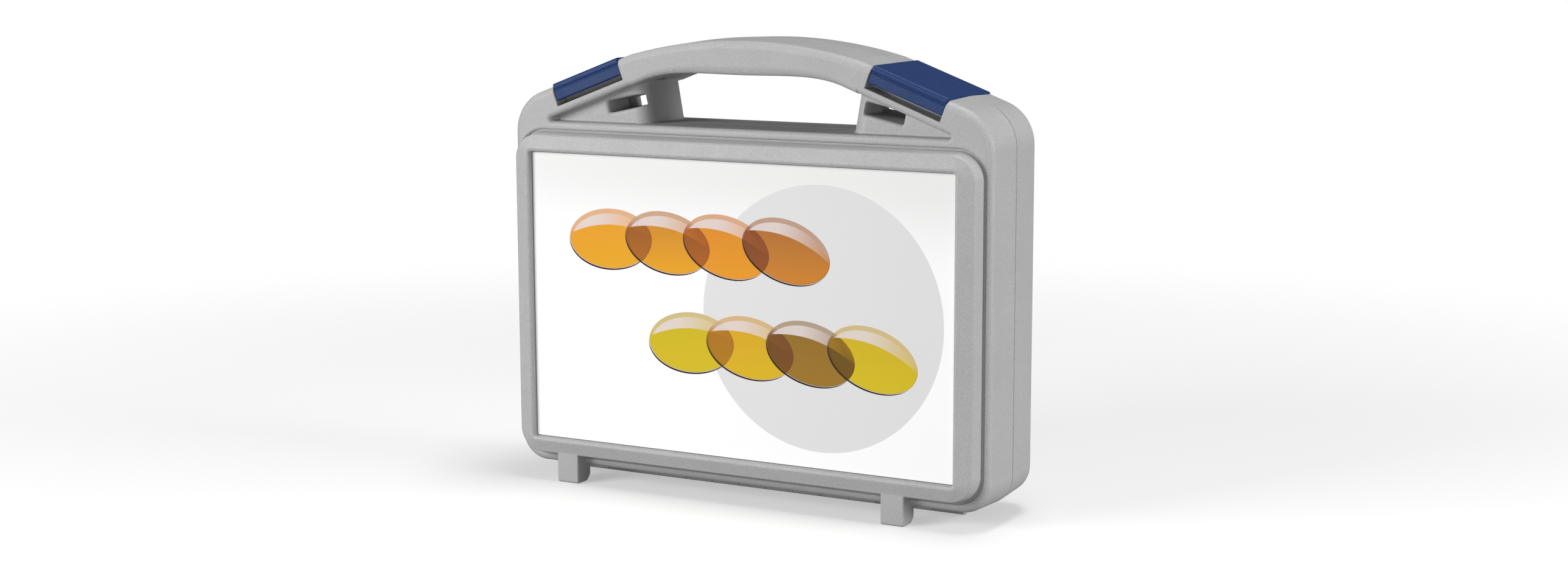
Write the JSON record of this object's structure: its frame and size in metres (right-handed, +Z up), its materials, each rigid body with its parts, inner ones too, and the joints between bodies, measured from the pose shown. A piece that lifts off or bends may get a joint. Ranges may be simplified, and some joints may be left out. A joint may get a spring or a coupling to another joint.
{
  "type": "trial lens set",
  "caption": "Portable tinted trial lens set: moulded grey carry case with arched handle, blue latches and picture panel, opening to foam-held rimmed lenses.",
  "frame": {"origin": "centre of the case's footprint, on the plane of the feet", "axes": "+X to the right along the hinge, -Y out of the lid's face, +Z up through the handle"},
  "size_m": [0.272, 0.0734, 0.2325],
  "materials": {
    "shell_plastic": "finely textured light grey moulding",
    "latch_plastic": "satin dark blue moulding",
    "label_card": "satin printed card",
    "pin_steel": "drawn wire",
    "foam": "dark closed-cell foam",
    "rim_black": "satin black",
    "lens_tint_1": "polished tinted lens",
    "lens_tint_2": "polished tinted lens",
    "lens_tint_3": "polished tinted lens",
    "lens_tint_4": "polished tinted lens",
    "lens_tint_5": "polished tinted lens",
    "lens_tint_6": "polished tinted lens",
    "lens_tint_7": "polished tinted lens",
    "lens_tint_8": "polished tinted lens"
  },
  "bodies": {
    "base": {"base_shell": "shell_plastic", "tray_foam": "foam", "tray_floor": "foam", "hinge_pin": "pin_steel", "latch_pin_left": "pin_steel", "latch_pin_right": "pin_steel"},
    "lid": {"lid_shell": "shell_plastic", "label_card": "label_card", "lid_foam": "foam"},
    "latch_left": {"latch_left": "latch_plastic"},
    "latch_right": {"latch_right": "latch_plastic"},
    "lens_1": {"lens_rim_1": "rim_black", "lens_glass_1": "lens_tint_1"},
    "lens_2": {"lens_rim_2": "rim_black", "lens_glass_2": "lens_tint_2"},
    "lens_3": {"lens_rim_3": "rim_black", "lens_glass_3": "lens_tint_3"},
    "lens_4": {"lens_rim_4": "rim_black", "lens_glass_4": "lens_tint_4"},
    "lens_5": {"lens_rim_5": "rim_black", "lens_glass_5": "lens_tint_5"},
    "lens_6": {"lens_rim_6": "rim_black", "lens_glass_6": "lens_tint_6"},
    "lens_7": {"lens_rim_7": "rim_black", "lens_glass_7": "lens_tint_7"},
    "lens_8": {"lens_rim_8": "rim_black", "lens_glass_8": "lens_tint_8"}
  },
  "joints": [
    {"name": "lid_hinge", "type": "hinge", "parent": "base", "child": "lid", "pos_m": [0, 0, 0.0038], "axis": [1, 0, 0], "range_deg": [0, 180]},
    {"name": "latch_left_pivot", "type": "hinge", "parent": "base", "child": "latch_left", "pos_m": [-0.09113, 0.0223, 0.21181], "axis": [-0.9373, 0, -0.3486], "range_deg": [0, 110]},
    {"name": "latch_right_pivot", "type": "hinge", "parent": "base", "child": "latch_right", "pos_m": [0.09113, 0.0223, 0.21181], "axis": [-0.9373, 0, 0.3486], "range_deg": [0, 110]},
    {"name": "lens_1_lift", "type": "slide", "parent": "base", "child": "lens_1", "axis": [0, -1, 0], "range_m": [0, 0.012]},
    {"name": "lens_2_lift", "type": "slide", "parent": "base", "child": "lens_2", "axis": [0, -1, 0], "range_m": [0, 0.012]},
    {"name": "lens_3_lift", "type": "slide", "parent": "base", "child": "lens_3", "axis": [0, -1, 0], "range_m": [0, 0.012]},
    {"name": "lens_4_lift", "type": "slide", "parent": "base", "child": "lens_4", "axis": [0, -1, 0], "range_m": [0, 0.012]},
    {"name": "lens_5_lift", "type": "slide", "parent": "base", "child": "lens_5", "axis": [0, -1, 0], "range_m": [0, 0.012]},
    {"name": "lens_6_lift", "type": "slide", "parent": "base", "child": "lens_6", "axis": [0, -1, 0], "range_m": [0, 0.012]},
    {"name": "lens_7_lift", "type": "slide", "parent": "base", "child": "lens_7", "axis": [0, -1, 0], "range_m": [0, 0.012]},
    {"name": "lens_8_lift", "type": "slide", "parent": "base", "child": "lens_8", "axis": [0, -1, 0], "range_m": [0, 0.012]}
  ]
}
